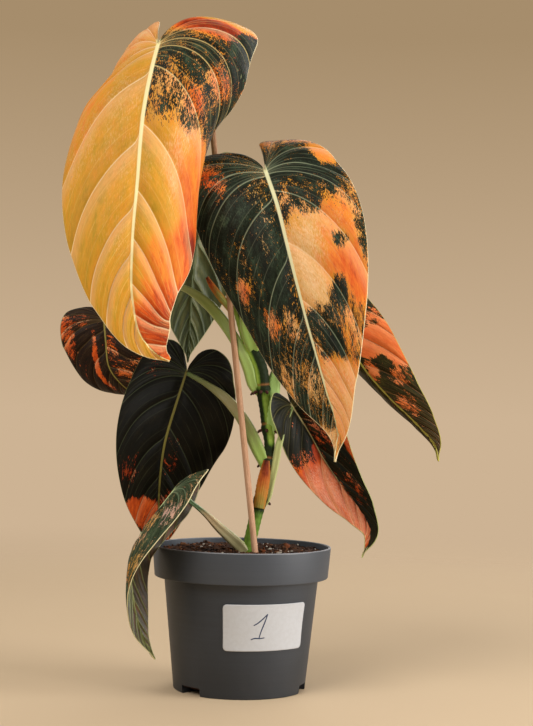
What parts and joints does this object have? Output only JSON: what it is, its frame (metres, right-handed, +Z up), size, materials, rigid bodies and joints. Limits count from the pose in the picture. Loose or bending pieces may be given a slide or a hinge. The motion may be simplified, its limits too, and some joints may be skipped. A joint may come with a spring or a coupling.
{
  "type": "potted philodendron plant",
  "caption": "Climbing house plant with velvety heart-shaped variegated leaves on a slim stem, held up by a stick in a round plastic nursery pot with a label.",
  "frame": {"origin": "centre of the pot's foot, on the surface it stands on", "axes": "+Z up; +X to the right and +Y away as the label side is seen from the front"},
  "size_m": [0.2695, 0.1361, 0.4539],
  "materials": {
    "pot": "dark grey injection-moulded plastic, matte",
    "label": "white vinyl label with one handwritten figure",
    "soil": "dark bark and peat mix",
    "stick": "pale split bamboo",
    "stem": "dark green, smooth, with brown joints",
    "petiole": "yellow-green, slightly glossy",
    "dry_sheath": "dry orange-brown, papery",
    "leaf_1_blade": "velvety, yellow and orange variegation with dark green",
    "leaf_2_blade": "velvety, dark blue-green with cream and orange variegation",
    "leaf_3_blade": "velvety, dark with red-orange streaks",
    "leaf_4_blade": "velvety, nearly black green",
    "leaf_5_blade": "matte grey-green underside",
    "leaf_6_blade": "velvety, blue-green with cream flecks",
    "leaf_7_blade": "velvety, orange-red with dark mottling",
    "leaf_8_blade": "velvety, dark green with pink half"
  },
  "bodies": {
    "root": {"pot": "pot", "label": "label", "soil": "soil", "stick": "stick", "stem": "stem", "dry_sheath_lower": "dry_sheath", "dry_sheath_upper": "dry_sheath", "leaf_1_petiole": "petiole", "leaf_1_blade": "leaf_1_blade", "leaf_2_petiole": "petiole", "leaf_2_blade": "leaf_2_blade", "leaf_3_petiole": "petiole", "leaf_3_blade": "leaf_3_blade", "leaf_4_petiole": "petiole", "leaf_4_blade": "leaf_4_blade", "leaf_5_petiole": "petiole", "leaf_5_blade": "leaf_5_blade", "leaf_6_petiole": "petiole", "leaf_6_blade": "leaf_6_blade", "leaf_7_petiole": "petiole", "leaf_7_blade": "leaf_7_blade", "leaf_8_petiole": "petiole", "leaf_8_blade": "leaf_8_blade"}
  },
  "joints": []
}
